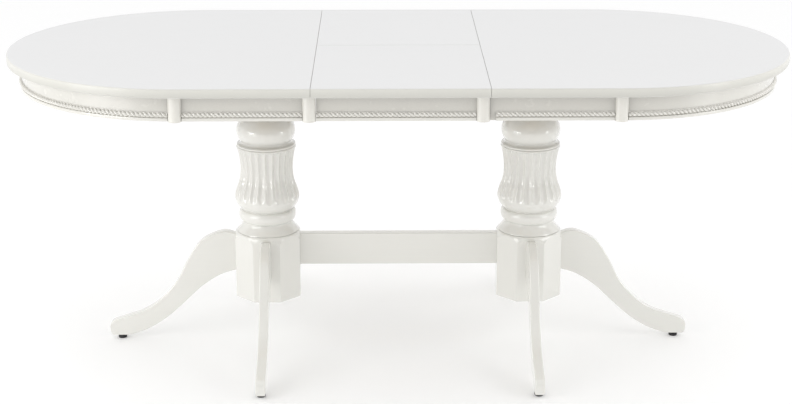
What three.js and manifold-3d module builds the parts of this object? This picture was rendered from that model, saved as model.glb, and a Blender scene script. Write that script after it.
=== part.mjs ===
// Extendable dining table on two turned pedestals, with a folding centre leaf in place.
// Millimetres, +Z up. The floor is Z = 0, X runs along the table and Y across it.

import * as THREE from "three";
import Module from "manifold-3d";

// ---- driving dimensions ----
const LENGTH = 1900;
const WIDTH = 900;
const HEIGHT = 765;
const LEAF_WIDTH = 400;
const GAP = 0.3; // between pieces that touch

const TOP_THICKNESS = 22;
const TOP_EDGE_ROUND = 4;
const SEAM_GAP = 0.5; // between the two halves and the leaf, and between the leaf panels

const APRON_SETBACK = 33; // from the edge of the top to the face of the apron
const APRON_HEIGHT = 59;
const APRON_THICKNESS = 22;

const MOULDING_HEIGHT = 20.5; // rope and bead strip along the foot of the apron
const ROPE_RADIUS = 6;

const POST_WIDTH = 30.6;
const POST_PROUD = 14;
const POST_OVER_SEAM = 11; // the left half's post covers its seam by this much

const PEDESTAL_X = 329.5; // from the middle of the table to a column's axis
const HUB_ACROSS = 162;
const HUB_BOTTOM = 123;
const HUB_TOP = 293;
const COLUMN_TOP = 653.4;

const LEG_THICKNESS = 23;
const LEG_REACH = 410; // column axis to the tip of the toe
const TOE_BOTTOM = 9;

const STRETCHER_THICKNESS = 25;
const STRETCHER_BOTTOM = 201.5;
const STRETCHER_TOP = 283;

const GLIDE_DIAMETER = 22;
const GLIDE_REACH = 380;

const BEARER_LENGTH = 520;
const BEARER_WIDTH = 90;
const BEARER_HEIGHT = 36;

const RAIL_Y = 200;
const RAIL_WIDTH = 28;
const RAIL_HEIGHT = 44;
const RAIL_LENGTH = 860;
const GROOVE_DEPTH = 8;
const GROOVE_HEIGHT = 9;
const GROOVE_ABOVE_RAIL_FOOT = 21.5;

const RUNNER_WIDTH = 25.4;
const RUNNER_HEIGHT = 45;
const RUNNER_UNDER_LEAF = 160; // how far a runner reaches in under the leaf
const RUNNER_LENGTH = 610;
const RUNNER_CLEARANCE = 0.6;

const BUTTON_LENGTH = 56;
const BUTTON_WIDTH = 18;
const BUTTON_THICKNESS = 10;
const BUTTON_DROP = 17; // from the underside of the leaf to the top of the button's arm
const BUTTON_REACH = 12; // how far a turned button enters its runner

const HINGE_X = 120;
const HINGE_LENGTH = 60;
const HINGE_DEPTH = 12;
const HINGE_HEIGHT = 12;
const HINGE_BELOW_TOP = 5;

// ---- dimensions that follow ----
const END_RADIUS = WIDTH / 2;
const END_X = LENGTH / 2 - END_RADIUS; // centre of a rounded end
const SEAM_X = LEAF_WIDTH / 2;
const UNDERSIDE = HEIGHT - TOP_THICKNESS;
const APRON_FACE = WIDTH / 2 - APRON_SETBACK;
const APRON_TOP = UNDERSIDE - GAP;
const APRON_BOTTOM = APRON_TOP - APRON_HEIGHT;
const HUB_RADIUS = HUB_ACROSS / 2;
const BEARER_TOP = COLUMN_TOP + GAP + BEARER_HEIGHT;
const RAIL_FOOT = BEARER_TOP + GAP;
const RUNNER_TOP = UNDERSIDE - GAP;
const POST_A_X = -END_X - 4; // outer posts, over the joint of the straight and curved aprons
const POST_D_X = END_X - 6;
const POST_B_X = -SEAM_X + POST_OVER_SEAM - POST_WIDTH / 2;
const POST_C_X = SEAM_X - SEAM_GAP / 2 - POST_WIDTH / 2;
const RIGHT_MOULDING_START = SEAM_X + POST_OVER_SEAM + 2; // leaves room for the left post when shut

// ---- materials ----
const lacquer = { color: 0xeeece6, roughness: 0.38, metalness: 0 };
const topLacquer = { color: 0xf1f0ee, roughness: 0.34, metalness: 0 };
const beech = { color: 0xc9a77c, roughness: 0.6, metalness: 0 };
const steel = { color: 0xb9bbbd, roughness: 0.35, metalness: 0.9 };
const blackPlastic = { color: 0x1b1b1c, roughness: 0.55, metalness: 0 };

// ---- solids ----
const wasm = await Module();
wasm.setup();

function toSolid(geometry) {
  const plain = geometry.index ? geometry.toNonIndexed() : geometry;
  const { array } = plain.attributes.position;
  const seen = new Map();
  const corners = [];
  const faces = [];
  for (let i = 0; i < array.length; i += 3) {
    const corner = [array[i], array[i + 1], array[i + 2]].map((v) => Math.round(v * 1e4) / 1e4);
    const key = corner.join();
    if (!seen.has(key)) {
      seen.set(key, seen.size);
      corners.push(...corner);
    }
    faces.push(seen.get(key));
  }
  const kept = [];
  for (let i = 0; i < faces.length; i += 3) {
    const [a, b, c] = faces.slice(i, i + 3);
    if (a !== b && b !== c && c !== a) kept.push(a, b, c);
  }
  return new wasm.Manifold(
    new wasm.Mesh({
      numProp: 3,
      vertProperties: new Float32Array(corners),
      triVerts: new Uint32Array(kept),
    }),
  );
}

function toGeometry(solid) {
  const { vertProperties, numProp, triVerts } = solid.getMesh();
  const position = new Float32Array((vertProperties.length / numProp) * 3);
  for (let i = 0; i < position.length / 3; i += 1) {
    position.set(vertProperties.subarray(i * numProp, i * numProp + 3), i * 3);
  }
  const geometry = new THREE.BufferGeometry();
  geometry.setAttribute("position", new THREE.BufferAttribute(position, 3));
  geometry.setIndex(new THREE.BufferAttribute(new Uint32Array(triVerts), 1));
  geometry.computeVertexNormals();
  return geometry;
}

// A block from its lowest corner to its highest.
function block(low, high) {
  const size = high.map((v, i) => v - low[i]);
  const geometry = new THREE.BoxGeometry(...size);
  geometry.translate(...low.map((v, i) => v + size[i] / 2));
  return geometry;
}

function cut(geometry, ...tools) {
  return toGeometry(tools.reduce((left, tool) => left.subtract(toSolid(tool)), toSolid(geometry)));
}

function join(...pieces) {
  return toGeometry(pieces.map(toSolid).reduce((all, piece) => all.add(piece)));
}

function keep(geometry, tool) {
  return toGeometry(toSolid(geometry).intersect(toSolid(tool)));
}

// Turns a closed outline of [radius, height] points about the Z axis.
function turned(points, segments) {
  const profile = points.map(([r, z]) => new THREE.Vector2(r, z));
  return new THREE.LatheGeometry(profile, segments).rotateX(Math.PI / 2);
}

// Runs an outline of [outward, height] points straight along X, facing -Y from the plane Y = -face.
function straightRun(points, face, fromX, toX) {
  const shape = new THREE.Shape(points.map(([out, z]) => new THREE.Vector2(face + out, z)));
  const geometry = new THREE.ExtrudeGeometry(shape, { depth: toX - fromX, bevelEnabled: false });
  geometry.rotateX(Math.PI / 2);
  geometry.rotateZ(-Math.PI / 2);
  return geometry.translate(toX, 0, 0);
}

// Bends the same outline round a rounded end, keeping what lies beyond X = fromX on the left.
function bentRun(points, radius, fromX, segments) {
  const closed = [...points, points[0]].map(([out, z]) => [radius + out, z]);
  const ring = turned(closed, segments).translate(-END_X, 0, 0);
  const reach = radius + 40;
  return keep(ring, block([-END_X - reach, -reach, 0], [fromX, reach, HEIGHT]));
}

// ---- table top ----
function wholeTop() {
  const inset = TOP_EDGE_ROUND;
  const shape = new THREE.Shape();
  shape.absarc(END_X, 0, END_RADIUS - inset, -Math.PI / 2, Math.PI / 2, false);
  shape.absarc(-END_X, 0, END_RADIUS - inset, Math.PI / 2, (3 * Math.PI) / 2, false);
  const geometry = new THREE.ExtrudeGeometry(shape, {
    depth: TOP_THICKNESS - 2 * inset,
    curveSegments: 40,
    bevelSize: inset,
    bevelThickness: inset,
    bevelSegments: 2,
  });
  return geometry.translate(0, 0, UNDERSIDE + inset);
}

// The part of the top between two X values and two Y values.
function topPanel(fromX, toX, fromY, toY) {
  return keep(wholeTop(), block([fromX, fromY, UNDERSIDE - 1], [toX, toY, HEIGHT + 1]));
}

function hingeBlock(x, side, clearance) {
  const near = SEAM_GAP / 2;
  const deep = near + HINGE_DEPTH + clearance;
  const mouth = clearance ? -1 : near;
  const top = HEIGHT - HINGE_BELOW_TOP + clearance;
  const half = HINGE_LENGTH / 2 + clearance;
  const ys = side < 0 ? [-deep, -mouth] : [mouth, deep];
  return block([x - half, ys[0], top - HINGE_HEIGHT - 2 * clearance], [x + half, ys[1], top]);
}

function leafPanel(side) {
  const near = SEAM_GAP / 2;
  const far = WIDTH / 2 + 1;
  const edge = SEAM_X - SEAM_GAP / 2;
  const ys = side < 0 ? [-far, -near] : [near, far];
  const panel = topPanel(-edge, edge, ...ys);
  return cut(panel, hingeBlock(-HINGE_X, side, GAP), hingeBlock(HINGE_X, side, GAP));
}

// ---- aprons, mouldings and posts ----
const apronOutline = [
  [-APRON_THICKNESS, APRON_BOTTOM],
  [0, APRON_BOTTOM],
  [0, APRON_TOP],
  [-APRON_THICKNESS, APRON_TOP],
];

function mouldingOutline() {
  const foot = APRON_BOTTOM;
  const ropeZ = foot + MOULDING_HEIGHT - ROPE_RADIUS - 1.2;
  const points = [
    [GAP, foot],
    [3.4, foot],
    [4.6, foot + 2.6],
    [3.4, foot + 5.2],
  ];
  for (let i = 0; i <= 6; i += 1) {
    const angle = -Math.PI / 2 + (i * Math.PI) / 6;
    points.push([1 + ROPE_RADIUS * Math.cos(angle), ropeZ + ROPE_RADIUS * Math.sin(angle)]);
  }
  points.push([1.5, foot + MOULDING_HEIGHT], [GAP, foot + MOULDING_HEIGHT]);
  return points;
}

function post(x) {
  const shape = new THREE.Shape();
  shape.absellipse(0, 0, POST_WIDTH / 2, POST_PROUD, Math.PI, 2 * Math.PI, false);
  const geometry = new THREE.ExtrudeGeometry(shape, {
    depth: APRON_HEIGHT,
    curveSegments: 14,
    bevelEnabled: false,
  });
  return geometry.translate(x, -APRON_FACE - GAP, APRON_BOTTOM);
}

// ---- pedestals ----
function columnProfile() {
  const path = new THREE.Path();
  path.moveTo(0, HUB_TOP + GAP);
  path.lineTo(77.6, HUB_TOP + GAP);
  path.lineTo(77.6, 296.4);
  path.lineTo(74, 297);
  path.quadraticCurveTo(62, 303, 60.5, 312); // flare down to the hub
  path.lineTo(60.5, 319);
  path.bezierCurveTo(74, 319, 75, 346, 62, 349); // torus
  path.lineTo(58, 351);
  path.lineTo(58, 354.5);
  path.lineTo(64, 356);
  path.bezierCurveTo(82, 363, 84, 389, 76.5, 405); // bulge of the vase
  path.bezierCurveTo(62, 434, 61, 452, 70, 494.5); // waist of the vase
  path.lineTo(73.5, 495.5);
  path.lineTo(73.5, 506);
  path.lineTo(63, 508);
  path.lineTo(58, 513);
  path.bezierCurveTo(76, 526, 83, 580, 48, 607); // ball
  path.lineTo(48, 612);
  path.lineTo(58, 616);
  path.lineTo(58, 622);
  path.lineTo(74, 626);
  path.lineTo(74, COLUMN_TOP);
  path.lineTo(0, COLUMN_TOP);
  return path.getPoints(5).map((p) => [p.x, p.y]);
}

// An octagonal block whose top is turned to a round shoulder.
function hub() {
  const corner = HUB_RADIUS / Math.cos(Math.PI / 8);
  const geometry = new THREE.CylinderGeometry(corner, corner, HUB_TOP - HUB_BOTTOM, 8);
  geometry.rotateX(Math.PI / 2).rotateZ(Math.PI / 8);
  geometry.translate(0, 0, (HUB_TOP + HUB_BOTTOM) / 2);
  const shoulder = [
    [0, HUB_BOTTOM - 5],
    [corner + 2, HUB_BOTTOM - 5],
    [corner + 2, HUB_TOP - 23],
    [corner, HUB_TOP - 20],
    [84.5, HUB_TOP - 10.2],
    [81, HUB_TOP - 2.8],
    [78.5, HUB_TOP],
    [0, HUB_TOP],
  ];
  return keep(geometry, turned(shoulder, 48));
}

// A scroll leg that reaches out along +X from its hub: its edges run as two S curves.
function leg() {
  const bevel = 1.5;
  const root = HUB_RADIUS + GAP + bevel;
  const tip = LEG_REACH - bevel;
  const foot = TOE_BOTTOM + bevel;
  const under = [
    [125, 172],
    [173, 140],
    [220, 95],
    [262, 58],
    [305, 30],
    [345, 14],
    [366, foot],
  ];
  const over = [
    [356, 62],
    [319, 76],
    [275, 106],
    [235, 153],
    [203, 215],
    [168, 263],
    [116, 287],
    [root, 281],
  ];
  const asPoints = (pairs) => pairs.map(([r, z]) => new THREE.Vector2(r, z));
  const shape = new THREE.Shape();
  shape.moveTo(root, 187);
  shape.splineThru(asPoints(under));
  shape.lineTo(tip - 14, foot);
  shape.quadraticCurveTo(tip, foot, tip, 32);
  shape.quadraticCurveTo(tip, 46, tip - 20, 51);
  shape.splineThru(asPoints(over));
  const geometry = new THREE.ExtrudeGeometry(shape, {
    depth: LEG_THICKNESS - 2 * bevel,
    curveSegments: 2,
    bevelSize: bevel,
    bevelThickness: bevel,
    bevelSegments: 1,
  });
  return geometry.rotateX(Math.PI / 2).translate(0, LEG_THICKNESS / 2 - bevel, 0);
}

function glide() {
  const radius = GLIDE_DIAMETER / 2;
  const top = TOE_BOTTOM - GAP;
  const profile = [
    [0, 0],
    [radius - 1.5, 0],
    [radius, 1.5],
    [radius, top],
    [0, top],
  ];
  return turned(profile, 24).translate(GLIDE_REACH, 0, 0);
}

// ---- slides under the top ----
function bearer() {
  const bottom = COLUMN_TOP + GAP;
  const half = [BEARER_WIDTH / 2, BEARER_LENGTH / 2];
  return block([-half[0], -half[1], bottom], [half[0], half[1], BEARER_TOP]);
}

// A fixed rail with a groove along each side, at positive Y.
function rail() {
  const half = RAIL_LENGTH / 2;
  const [inner, outer] = [RAIL_Y - RAIL_WIDTH / 2, RAIL_Y + RAIL_WIDTH / 2];
  const low = RAIL_FOOT + GROOVE_ABOVE_RAIL_FOOT;
  const high = low + GROOVE_HEIGHT;
  return cut(
    block([-half, inner, RAIL_FOOT], [half, outer, RAIL_FOOT + RAIL_HEIGHT]),
    block([-half - 1, inner - 1, low], [half + 1, inner + GROOVE_DEPTH, high]),
    block([-half - 1, outer - GROOVE_DEPTH, low], [half + 1, outer + 1, high]),
  );
}

// A runner at positive Y, on the rail's outer side (side = 1) or inner side (side = -1). It reaches
// from under the leaf towards the left or the right end, and its mortise takes the leaf's button.
function runner(side, end) {
  const face = RAIL_Y + side * (RAIL_WIDTH / 2 + RUNNER_CLEARANCE);
  const back = face + side * RUNNER_WIDTH;
  const tongue = face - side * (GROOVE_DEPTH - 2 * RUNNER_CLEARANCE);
  const low = RAIL_FOOT + GROOVE_ABOVE_RAIL_FOOT + RUNNER_CLEARANCE;
  const high = low + GROOVE_HEIGHT - 2 * RUNNER_CLEARANCE;
  const near = SEAM_X - RUNNER_UNDER_LEAF;
  const xs = [end * near, end * (near + RUNNER_LENGTH)].sort((a, b) => a - b);
  const span = (a, b) => [Math.min(a, b), Math.max(a, b)];
  const [y0, y1] = span(face, back);
  const [t0, t1] = span(tongue, face + side * 4);
  const [m0, m1] = span(back - side * (BUTTON_REACH + 2), back + side);
  const mortiseX = end * (SEAM_X - RUNNER_UNDER_LEAF / 2);
  const mortiseHalf = BUTTON_LENGTH / 2 - 3;
  const armTop = UNDERSIDE - BUTTON_DROP + 1.5;
  return cut(
    join(
      block([xs[0], y0, RUNNER_TOP - RUNNER_HEIGHT], [xs[1], y1, RUNNER_TOP]),
      block([xs[0], t0, low], [xs[1], t1, high]),
    ),
    block(
      [mortiseX - mortiseHalf, m0, armTop - BUTTON_THICKNESS - 3],
      [mortiseX + mortiseHalf, m1, armTop],
    ),
  );
}

// Distance of a turn button's pivot from its runner's free side.
const BUTTON_PIVOT_OFF = BUTTON_LENGTH / 2 - BUTTON_REACH;

// A turn button lying along X about its own pivot.
function button() {
  const top = UNDERSIDE - BUTTON_DROP;
  const half = BUTTON_LENGTH / 2 - BUTTON_WIDTH / 2;
  const shape = new THREE.Shape();
  shape.absarc(half, 0, BUTTON_WIDTH / 2, -Math.PI / 2, Math.PI / 2, false);
  shape.absarc(-half, 0, BUTTON_WIDTH / 2, Math.PI / 2, (3 * Math.PI) / 2, false);
  const arm = new THREE.ExtrudeGeometry(shape, {
    depth: BUTTON_THICKNESS,
    curveSegments: 10,
    bevelEnabled: false,
  });
  arm.translate(0, 0, top - BUTTON_THICKNESS);
  const boss = new THREE.CylinderGeometry(8, 8, BUTTON_DROP - GAP + 2, 20);
  boss.rotateX(Math.PI / 2).translate(0, 0, UNDERSIDE - GAP - (BUTTON_DROP - GAP + 2) / 2);
  return join(arm, boss);
}

// ---- assembly ----
const table = new THREE.Group();
table.name = "extendable_dining_table";

function add(name, geometry, finish, parent = table) {
  const mesh = new THREE.Mesh(geometry, new THREE.MeshStandardMaterial(finish));
  mesh.name = name;
  parent.add(mesh);
  return mesh;
}

// Adds one piece at the front and its mirror image at the rear.
function addFrontAndRear(name, geometry, finish) {
  add(`${name}_front`, geometry, finish);
  const mirrored = toGeometry(toSolid(geometry).mirror([0, 1, 0]));
  add(`${name}_rear`, mirrored, finish);
}

// Adds one piece at the left and its mirror image at the right.
function addLeftAndRight(name, geometry, finish) {
  add(`left_${name}`, geometry, finish);
  const mirrored = toGeometry(toSolid(geometry).mirror([1, 0, 0]));
  add(`right_${name}`, mirrored, finish);
}

const edgeOfTop = WIDTH / 2 + 1;
const seamSide = SEAM_X + SEAM_GAP / 2;
const leafSide = SEAM_X - SEAM_GAP / 2;
addLeftAndRight(
  "top_half",
  topPanel(-LENGTH / 2 - 1, -seamSide, -edgeOfTop, edgeOfTop),
  topLacquer,
);
add("leaf_panel_front", leafPanel(-1), topLacquer);
add("leaf_panel_rear", leafPanel(1), topLacquer);

addLeftAndRight("end_apron", bentRun(apronOutline, APRON_FACE, -END_X - GAP, 64), lacquer);
const apron = (fromX, toX) => straightRun(apronOutline, APRON_FACE, fromX, toX);
addFrontAndRear("left_apron", apron(-END_X, -seamSide), lacquer);
addFrontAndRear("right_apron", apron(seamSide, END_X), lacquer);
const leafApronStart = POST_B_X + POST_WIDTH / 2 + SEAM_GAP;
addFrontAndRear("leaf_apron", apron(leafApronStart, leafSide), lacquer);

const outline = mouldingOutline();
const besidePost = POST_WIDTH / 2 + GAP;
const moulding = (fromX, toX) => straightRun(outline, APRON_FACE, fromX, toX);
addFrontAndRear("left_rope", moulding(POST_A_X + besidePost, POST_B_X - besidePost), lacquer);
addFrontAndRear("leaf_rope", moulding(leafApronStart, POST_C_X - besidePost), lacquer);
addFrontAndRear("right_rope", moulding(RIGHT_MOULDING_START, POST_D_X - besidePost), lacquer);
add("left_end_rope", bentRun(outline, APRON_FACE, POST_A_X - besidePost, 64), lacquer);
const rightEnd = bentRun(outline, APRON_FACE, -END_X - POST_WIDTH / 2 + 6 - GAP, 64);
add("right_end_rope", toGeometry(toSolid(rightEnd).mirror([1, 0, 0])), lacquer);

addFrontAndRear("outer_post_left", post(POST_A_X), lacquer);
addFrontAndRear("seam_post_left", post(POST_B_X), lacquer);
addFrontAndRear("seam_post_leaf", post(POST_C_X), lacquer);
addFrontAndRear("outer_post_right", post(POST_D_X), lacquer);

for (const [sideName, sideX] of [["left", -1], ["right", 1]]) {
  const pedestal = new THREE.Group();
  pedestal.position.x = sideX * PEDESTAL_X;
  table.add(pedestal);
  add(`${sideName}_column`, turned(columnProfile(), 24), lacquer, pedestal);
  add(`${sideName}_hub`, hub(), lacquer, pedestal);
  add(`${sideName}_bearer`, bearer(), beech, pedestal);
  const outward = sideX < 0 ? Math.PI : 0;
  for (const [legName, turn] of [["outer", outward], ["front", -Math.PI / 2], ["rear", Math.PI / 2]]) {
    add(`${sideName}_leg_${legName}`, leg().rotateZ(turn), lacquer, pedestal);
    add(`${sideName}_glide_${legName}`, glide().rotateZ(turn), blackPlastic, pedestal);
  }
}

const stretcherEnd = PEDESTAL_X - HUB_RADIUS - GAP;
const halfThick = STRETCHER_THICKNESS / 2;
add(
  "stretcher",
  block([-stretcherEnd, -halfThick, STRETCHER_BOTTOM], [stretcherEnd, halfThick, STRETCHER_TOP]),
  lacquer,
);

const mirrorY = (geometry) => toGeometry(toSolid(geometry).mirror([0, 1, 0]));
add("fixed_rail_rear", rail(), beech);
add("fixed_rail_front", mirrorY(rail()), beech);
add("left_runner_rear", runner(1, -1), beech);
add("left_runner_front", mirrorY(runner(1, -1)), beech);
add("right_runner_rear", runner(-1, 1), beech);
add("right_runner_front", mirrorY(runner(-1, 1)), beech);

const buttonX = SEAM_X - RUNNER_UNDER_LEAF / 2;
const runnerOuter = RAIL_Y + RAIL_WIDTH / 2 + RUNNER_CLEARANCE + RUNNER_WIDTH;
const runnerInner = RAIL_Y - RAIL_WIDTH / 2 - RUNNER_CLEARANCE - RUNNER_WIDTH;
const leftButton = add("turn_button_left", button(), steel);
leftButton.position.set(-buttonX, runnerOuter + BUTTON_PIVOT_OFF, 0);
const rightButton = add("turn_button_right", button(), steel);
rightButton.position.set(buttonX, runnerInner - BUTTON_PIVOT_OFF, 0);

for (const [sideName, x] of [["left", -HINGE_X], ["right", HINGE_X]]) {
  add(`leaf_hinge_${sideName}_front`, hingeBlock(x, -1, 0), steel);
  add(`leaf_hinge_${sideName}_rear`, hingeBlock(x, 1, 0), steel);
}

export default table;
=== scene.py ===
import math

import bmesh
import bpy
from mathutils import Matrix, Vector


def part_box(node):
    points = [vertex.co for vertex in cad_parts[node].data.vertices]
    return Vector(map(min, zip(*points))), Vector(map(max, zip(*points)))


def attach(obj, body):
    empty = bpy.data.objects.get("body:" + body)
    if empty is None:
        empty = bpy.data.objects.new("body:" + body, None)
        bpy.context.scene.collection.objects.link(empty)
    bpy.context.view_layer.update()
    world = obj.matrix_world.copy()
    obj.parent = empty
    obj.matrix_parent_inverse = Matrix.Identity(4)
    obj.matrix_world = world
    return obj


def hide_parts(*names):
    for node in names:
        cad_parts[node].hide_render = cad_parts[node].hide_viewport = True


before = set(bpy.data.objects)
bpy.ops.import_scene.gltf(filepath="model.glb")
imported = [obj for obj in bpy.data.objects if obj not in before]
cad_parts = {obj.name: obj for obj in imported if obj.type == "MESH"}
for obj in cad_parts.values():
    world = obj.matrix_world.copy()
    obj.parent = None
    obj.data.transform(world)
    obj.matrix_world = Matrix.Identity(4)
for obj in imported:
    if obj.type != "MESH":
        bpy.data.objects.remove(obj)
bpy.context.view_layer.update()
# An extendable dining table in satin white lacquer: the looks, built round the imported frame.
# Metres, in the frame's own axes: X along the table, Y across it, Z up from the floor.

MM = 0.001


# ---------------------------------------------------------------- camera, lights and stage
FOCAL_MM = 78.66
CAMERA_PLACE = (-0.0504, -4.1582, 1.6709)
CAMERA_DOWN = math.radians(17.475)
CAMERA_RIGHT = math.radians(0.613)


def make_camera():
    """The camera of the photograph, from a fit to the outline of the table."""
    data = bpy.data.cameras.new("photo_camera")
    data.sensor_width = 36
    data.lens = FOCAL_MM
    data.clip_end = 100
    camera = bpy.data.objects.new("photo_camera", data)
    camera.location = CAMERA_PLACE
    camera.rotation_euler = (math.pi / 2 - CAMERA_DOWN, 0, -CAMERA_RIGHT)
    bpy.context.scene.collection.objects.link(camera)
    bpy.context.scene.camera = camera


def soft_box(name, place, target, width, height, watts):
    """A rectangular studio light that faces a target and doesn't show itself."""
    data = bpy.data.lights.new(name, "AREA")
    data.shape = "RECTANGLE"
    data.size = width
    data.size_y = height
    data.energy = watts
    light = bpy.data.objects.new(name, data)
    light.location = place
    aim = Vector(target) - Vector(place)
    light.rotation_euler = aim.to_track_quat("-Z", "Y").to_euler()
    light.visible_camera = False
    bpy.context.scene.collection.objects.link(light)


def make_lights():
    """Stacked soft boxes on each side of the camera, in a white studio that is dimmer in front."""
    soft_box("left_upper_box", (-2.90, -1.96, 2.07), (0, 0, 0.55), 2.75, 0.95, 19.5)
    soft_box("left_middle_box", (-2.87, -2.00, 0.74), (0, 0, 0.52), 1.8, 0.20, 9.5)
    soft_box("left_lower_box", (-2.87, -2.00, 0.24), (0, 0, 0.40), 1.8, 0.20, 5)
    soft_box("right_upper_box", (3.20, -1.42, 2.07), (0, 0, 0.55), 2.3, 0.95, 17)
    soft_box("right_middle_box", (3.15, -1.53, 0.68), (0, 0, 0.52), 1.0, 0.18, 4.5)
    soft_box("right_lower_box", (3.15, -1.53, 0.24), (0, 0, 0.40), 1.0, 0.18, 1.6)
    world = bpy.data.worlds.new("studio")
    world.use_nodes = True
    tree = world.node_tree
    background = tree.nodes["Background"]
    background.inputs["Color"].default_value = (1, 1, 1, 1)
    split = tree.nodes.new("ShaderNodeSeparateXYZ")
    tree.links.new(tree.nodes.new("ShaderNodeTexCoord").outputs["Generated"], split.inputs[0])
    front = tree.nodes.new("ShaderNodeMapRange")
    for socket, value in (("From Min", -1), ("From Max", 0), ("To Min", 0.36), ("To Max", 0.91)):
        front.inputs[socket].default_value = value
    tree.links.new(split.outputs["Y"], front.inputs["Value"])
    above = tree.nodes.new("ShaderNodeMapRange")
    for socket, value in (("From Min", 0), ("From Max", 1), ("To Min", 0), ("To Max", 0.19)):
        above.inputs[socket].default_value = value
    tree.links.new(split.outputs["Z"], above.inputs["Value"])
    total = tree.nodes.new("ShaderNodeMath")
    total.operation = "ADD"
    tree.links.new(front.outputs["Result"], total.inputs[0])
    tree.links.new(above.outputs["Result"], total.inputs[1])
    tree.links.new(total.outputs[0], background.inputs["Strength"])
    bpy.context.scene.world = world


def make_floor():
    """A pale level floor that fills the view."""
    half = 40
    corners = [(-half, -half, 0), (half, -half, 0), (half, half, 0), (-half, half, 0)]
    mesh = bpy.data.meshes.new("studio_floor")
    mesh.from_pydata(corners, [], [(0, 1, 2, 3)])
    floor = bpy.data.objects.new("studio_floor", mesh)
    bpy.context.scene.collection.objects.link(floor)
    material = bpy.data.materials.new("pale_floor")
    material.use_nodes = True
    shader = material.node_tree.nodes["Principled BSDF"]
    shader.inputs["Base Color"].default_value = (0.93, 0.93, 0.93, 1)
    shader.inputs["Roughness"].default_value = 0.7
    shader.inputs["Specular IOR Level"].default_value = 0.2
    shader.inputs["Emission Color"].default_value = (1, 1, 1, 1)
    shader.inputs["Emission Strength"].default_value = 0.116
    mesh.materials.append(material)


# ---------------------------------------------------------------- materials
class Nodes:
    """A short hand for building one node material."""

    def __init__(self, name):
        self.material = bpy.data.materials.new(name)
        self.material.use_nodes = True
        self.tree = self.material.node_tree
        self.shader = self.tree.nodes["Principled BSDF"]
        where = self.add("ShaderNodeTexCoord")
        self.place = where.outputs["Object"]
        self.facing = where.outputs["Normal"]

    def add(self, kind, **values):
        node = self.tree.nodes.new(kind)
        for key, value in values.items():
            setattr(node, key, value)
        return node

    def link(self, source, target):
        self.tree.links.new(source, target)

    def height(self, vector):
        """The Z part of a vector."""
        split = self.add("ShaderNodeSeparateXYZ")
        self.link(vector, split.inputs[0])
        return split.outputs["Z"]

    def size(self, vector, letter):
        """One part of a vector without its sign."""
        split = self.add("ShaderNodeSeparateXYZ")
        self.link(vector, split.inputs[0])
        part = self.add("ShaderNodeMath", operation="ABSOLUTE")
        self.link(split.outputs[letter], part.inputs[0])
        return part.outputs[0]

    def noise(self, stretch, scale, detail=3.0, roughness=0.5):
        """Noise whose features are stretched along each axis by a number of metres per unit."""
        mapping = self.add("ShaderNodeMapping")
        mapping.inputs["Scale"].default_value = stretch
        self.link(self.place, mapping.inputs["Vector"])
        node = self.add("ShaderNodeTexNoise")
        node.inputs["Scale"].default_value = scale
        node.inputs["Detail"].default_value = detail
        node.inputs["Roughness"].default_value = roughness
        self.link(mapping.outputs["Vector"], node.inputs["Vector"])
        return node.outputs["Fac"]

    def ramp(self, source, low, high, low_value, high_value):
        """Carries low...high over to low_value...high_value and holds the ends."""
        node = self.add("ShaderNodeMapRange")
        node.inputs["From Min"].default_value = low
        node.inputs["From Max"].default_value = high
        node.inputs["To Min"].default_value = low_value
        node.inputs["To Max"].default_value = high_value
        self.link(source, node.inputs["Value"])
        return node.outputs["Result"]

    def mix(self, factor, first, second):
        """Mixes two tints or colour sockets."""
        node = self.add("ShaderNodeMix", data_type="RGBA")
        self.link(factor, node.inputs["Factor"])
        for socket, value in ((node.inputs[6], first), (node.inputs[7], second)):
            if isinstance(value, tuple):
                socket.default_value = (*value, 1)
            else:
                self.link(value, socket)
        return node.outputs[2]

    def bump(self, height, strength, distance, under=None):
        node = self.add("ShaderNodeBump")
        node.inputs["Strength"].default_value = strength
        node.inputs["Distance"].default_value = distance
        self.link(height, node.inputs["Height"])
        if under is not None:
            self.link(under, node.inputs["Normal"])
        return node.outputs["Normal"]

    def crevices(self, reach):
        """How open the surface is within a reach: 0 closed in, 1 free."""
        node = self.add("ShaderNodeAmbientOcclusion", samples=6)
        node.inputs["Distance"].default_value = reach
        return node.outputs["AO"]


def grain_stretch(axis):
    """Noise scaling that makes grain run along one axis."""
    along, across = 3.0, 60.0
    return tuple(along if letter == axis else across for letter in "XYZ")


def shade(tint, factor):
    """A tint made darker or paler by a factor."""
    return tuple(factor * part for part in tint)


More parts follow.
